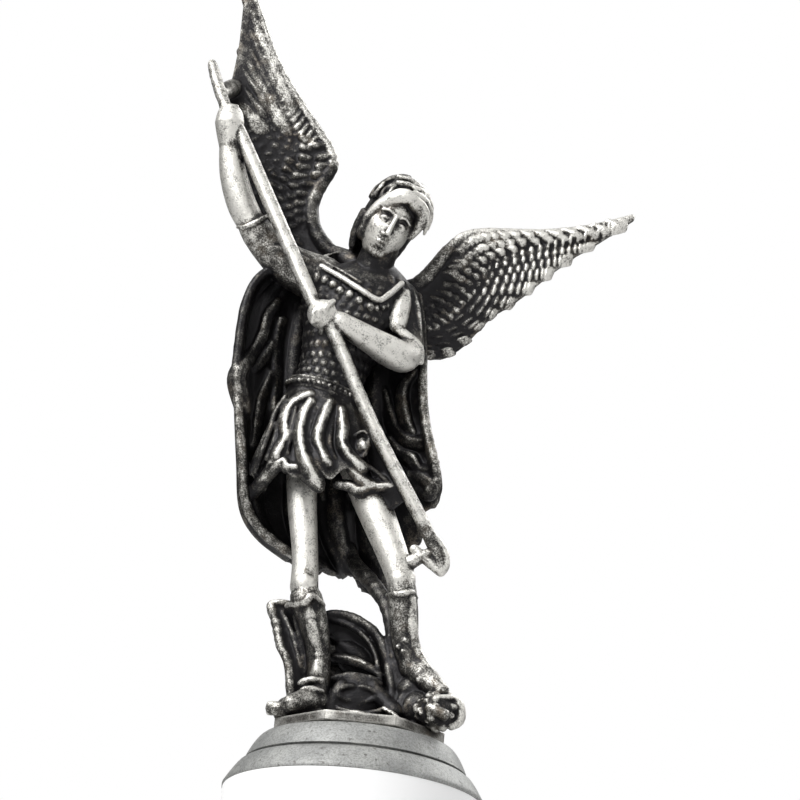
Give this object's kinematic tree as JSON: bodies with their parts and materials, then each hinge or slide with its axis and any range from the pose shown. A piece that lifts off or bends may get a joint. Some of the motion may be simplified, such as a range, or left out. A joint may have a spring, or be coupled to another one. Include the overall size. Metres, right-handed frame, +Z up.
{
  "type": "archangel michael statue",
  "caption": "Small cast metal statue of the archangel Michael, wings spread, driving a spear into the devil under the feet, on a stepped round base.",
  "frame": {"origin": "centre of the base's underside", "axes": "+Z up, -Y to the front, +X to the viewer's right"},
  "size_m": [0.0548, 0.031, 0.1041],
  "materials": {
    "antique_pewter": "cast pewter-like alloy, black patina in the hollows, worn silver-grey on the ridges",
    "satin_grey_metal": "turned alloy, satin silver-grey with a few dark specks"
  },
  "bodies": {
    "root": {"archangel_figure": "antique_pewter", "round_base": "satin_grey_metal"}
  },
  "joints": []
}
